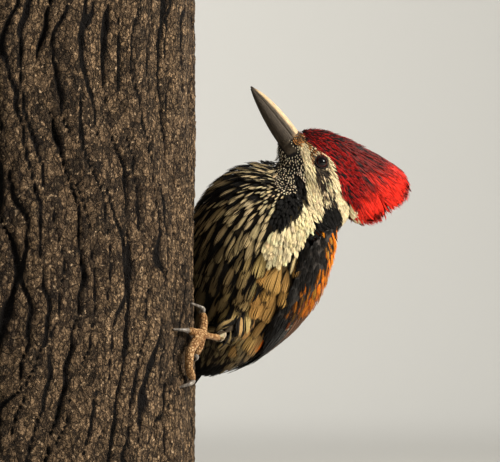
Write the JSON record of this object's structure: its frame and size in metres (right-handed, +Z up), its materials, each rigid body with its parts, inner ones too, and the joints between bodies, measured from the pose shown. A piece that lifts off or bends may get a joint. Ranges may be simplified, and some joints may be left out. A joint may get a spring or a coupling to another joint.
{
  "type": "black-rumped flameback woodpecker on a trunk perch",
  "caption": "Life-size still model of a crested flameback woodpecker clinging to a cut length of tree trunk on a plain display stand.",
  "frame": {"origin": "middle of the bounding box, on the underside of the stand's base", "axes": "+Z up; the trunk stands to -X of the bird and the bill points to -X and up; -Y is the viewer's side"},
  "size_m": [0.284, 0.19, 0.309],
  "materials": {
    "head_feathers": "cream, black and spotted head feathers over skin",
    "crest_feathers": "scarlet crest feathers with dark bases",
    "body_feathers": "black feathers with buff centres",
    "wing_feathers": "golden orange and black flight feathers and coverts",
    "tail_feathers": "stiff black tail feathers",
    "horn": "slate grey horn of bill and claws, slightly glossy",
    "eye": "dark red-brown eye with a wet shine",
    "leg_skin": "scaly olive-buff leg skin",
    "bark": "rough grey-brown bark with sawn ends",
    "stand_paint": "satin black painted plate",
    "stand_steel": "brushed steel rod"
  },
  "bodies": {
    "root": {"head": "head_feathers", "crest": "crest_feathers", "bill_upper": "horn", "bill_lower": "horn", "eye_left": "eye", "eye_right": "eye", "neck": "body_feathers", "torso": "body_feathers", "wing_left": "wing_feathers", "wing_right": "wing_feathers", "tail": "tail_feathers", "thigh_left": "body_feathers", "thigh_right": "body_feathers", "tarsus_left": "leg_skin", "tarsus_right": "leg_skin", "foot_left": "leg_skin", "foot_right": "leg_skin", "claw_left_1": "horn", "claw_left_2": "horn", "claw_left_3": "horn", "claw_left_4": "horn", "claw_right_1": "horn", "claw_right_2": "horn", "claw_right_3": "horn", "claw_right_4": "horn", "perch_log": "bark", "stand_base": "stand_paint", "stand_rod_1": "stand_steel", "stand_rod_2": "stand_steel"}
  },
  "joints": []
}
